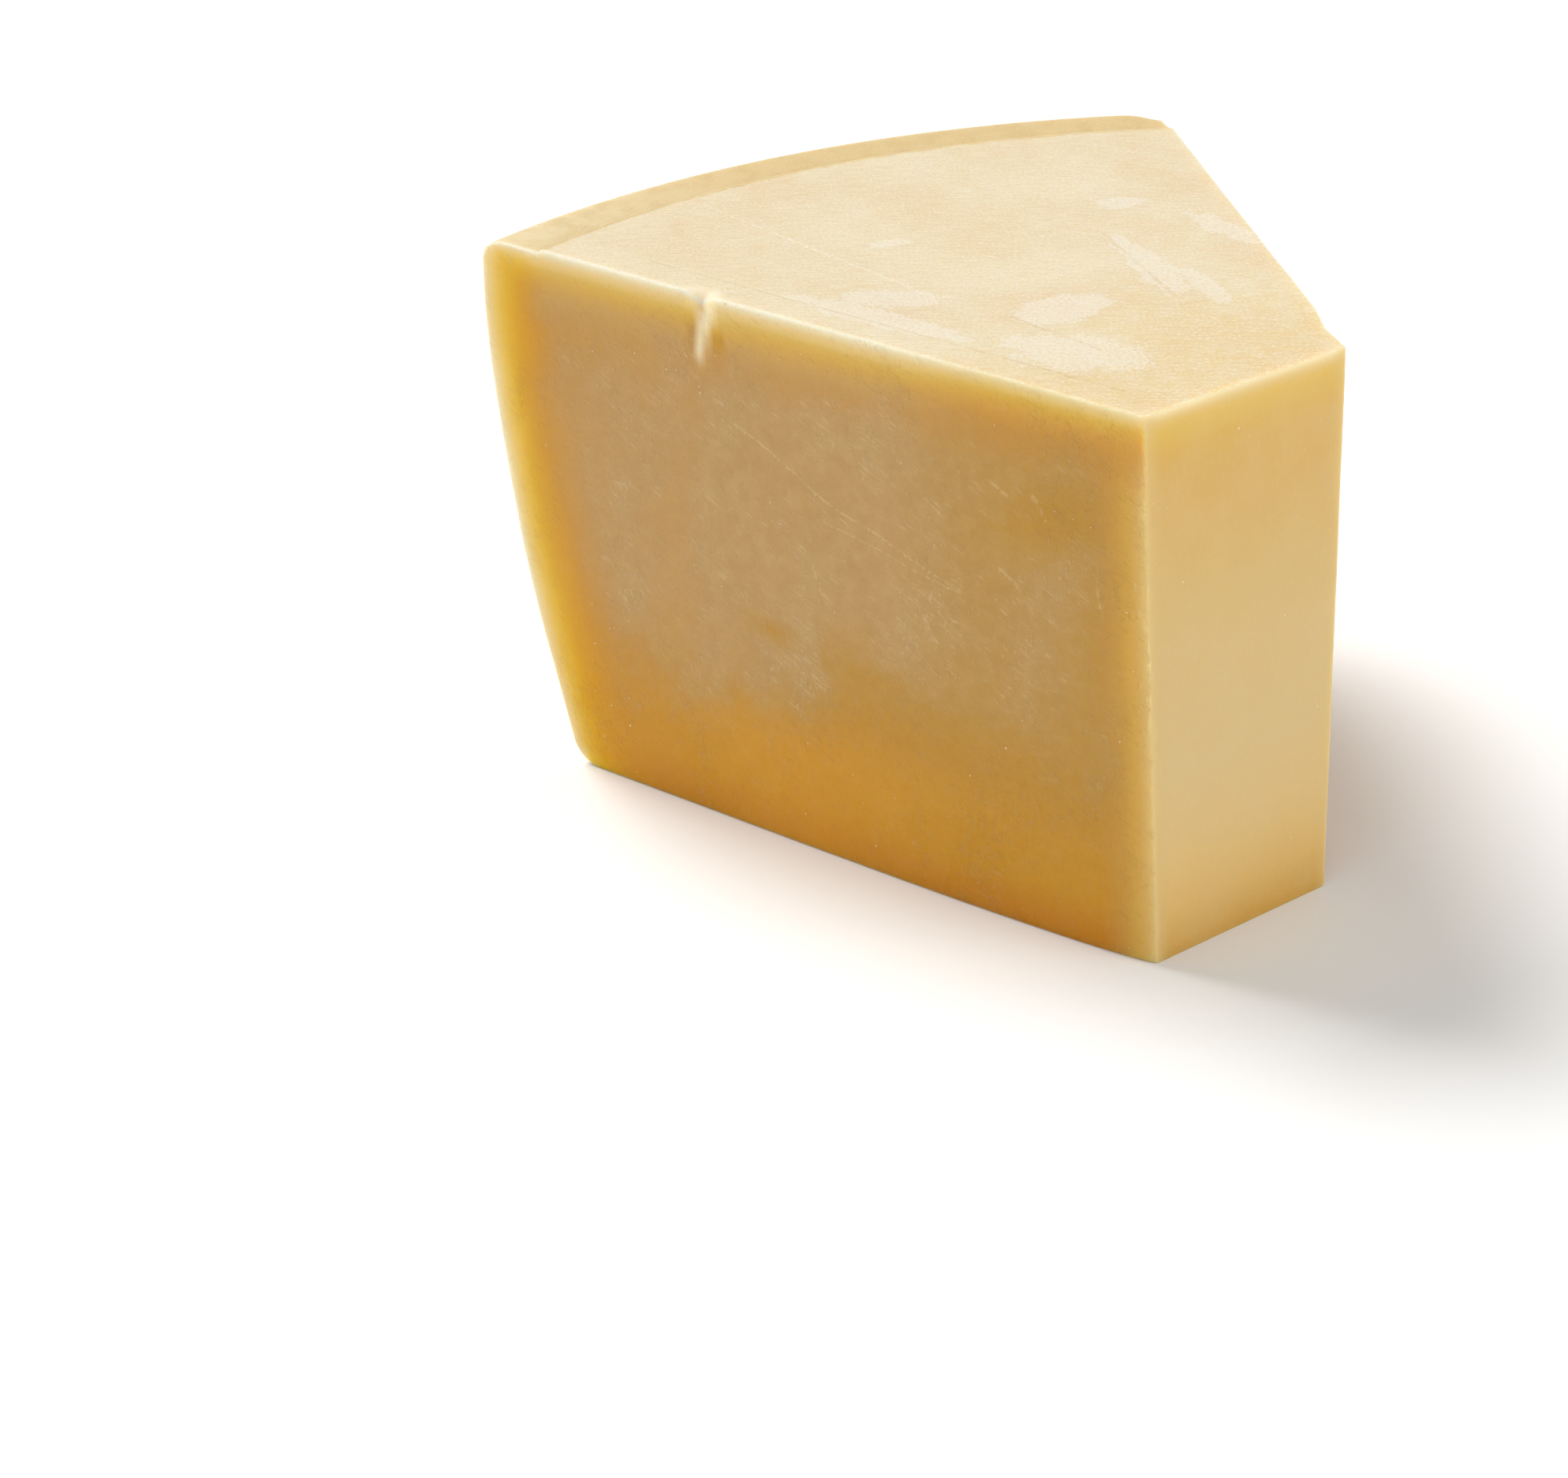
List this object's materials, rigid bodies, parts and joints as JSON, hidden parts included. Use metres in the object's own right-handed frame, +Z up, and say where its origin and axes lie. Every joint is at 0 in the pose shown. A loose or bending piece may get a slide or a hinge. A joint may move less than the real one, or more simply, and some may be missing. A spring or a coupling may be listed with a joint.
{
  "type": "aged hard cheese wedge",
  "caption": "Tall wedge of aged hard cheese, a sector of a round wheel with its thin tip cut off, standing on the wheel's flat side.",
  "frame": {"origin": "middle of the wedge's box, at the foot, in the plane it stands on", "axes": "+X from the rind along the long front cut to the cut-off tip, +Y from the front cut into the cheese, +Z up"},
  "size_m": [0.1664, 0.1368, 0.11],
  "materials": {
    "cheese": "dense golden cheese, satin cut faces, paler dry top and rind"
  },
  "bodies": {
    "root": {"cheese_wedge": "cheese"}
  },
  "joints": []
}
